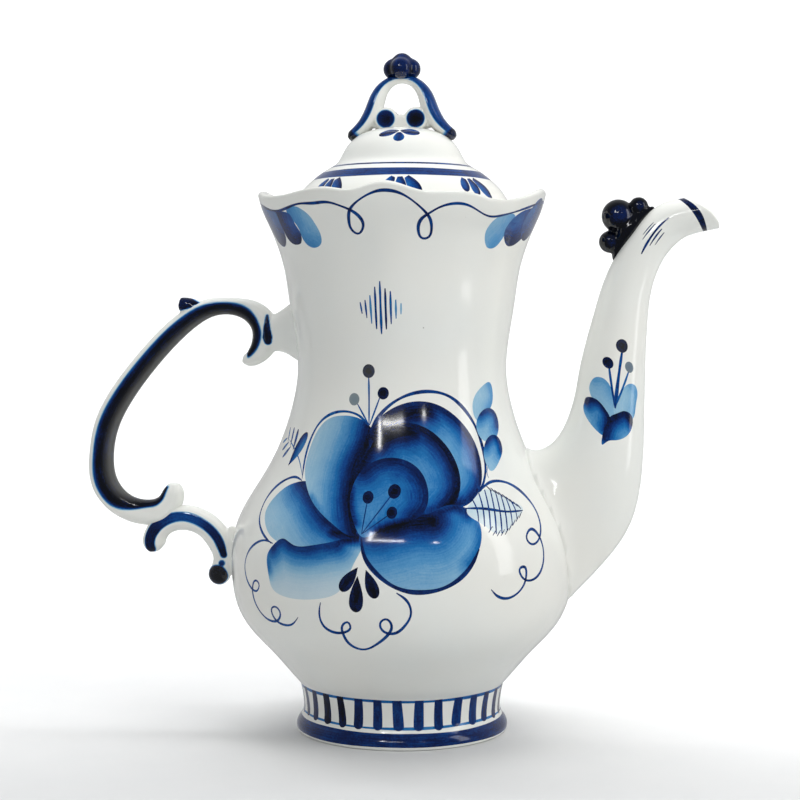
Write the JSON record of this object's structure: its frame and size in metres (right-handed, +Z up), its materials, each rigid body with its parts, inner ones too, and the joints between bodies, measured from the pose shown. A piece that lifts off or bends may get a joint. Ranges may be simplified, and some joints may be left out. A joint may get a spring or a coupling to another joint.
{
  "type": "teapot",
  "caption": "Tall waisted porcelain teapot with scalloped rim, curved spout, scroll handle and lift-off domed lid, blue floral painting on white glaze.",
  "frame": {"origin": "centre of the foot's rest plane, on the pot's axis", "axes": "+Z up along the pot's axis, +X towards the spout, -X towards the handle, -Y the painted front"},
  "size_m": [0.2464, 0.1314, 0.26],
  "materials": {
    "white_glaze": "clear gloss glaze over white porcelain, painted in cobalt blue under the glaze",
    "cobalt_glaze": "clear gloss glaze over solid cobalt blue"
  },
  "bodies": {
    "pot": {"pot_base": "white_glaze", "pot_belly": "white_glaze", "pot_shoulder": "white_glaze", "pot_neck": "white_glaze", "pot_mouth": "white_glaze", "foot_ring": "white_glaze", "spout": "white_glaze", "spout_berries": "cobalt_glaze", "handle": "white_glaze", "handle_bracket": "white_glaze"},
    "lid": {"lid_dome": "white_glaze", "lid_loop": "white_glaze", "lid_blossom": "cobalt_glaze"}
  },
  "joints": [
    {"name": "lid_lift", "type": "slide", "parent": "pot", "child": "lid", "axis": [0, 0, 1], "range_m": [0, 0.06]}
  ]
}
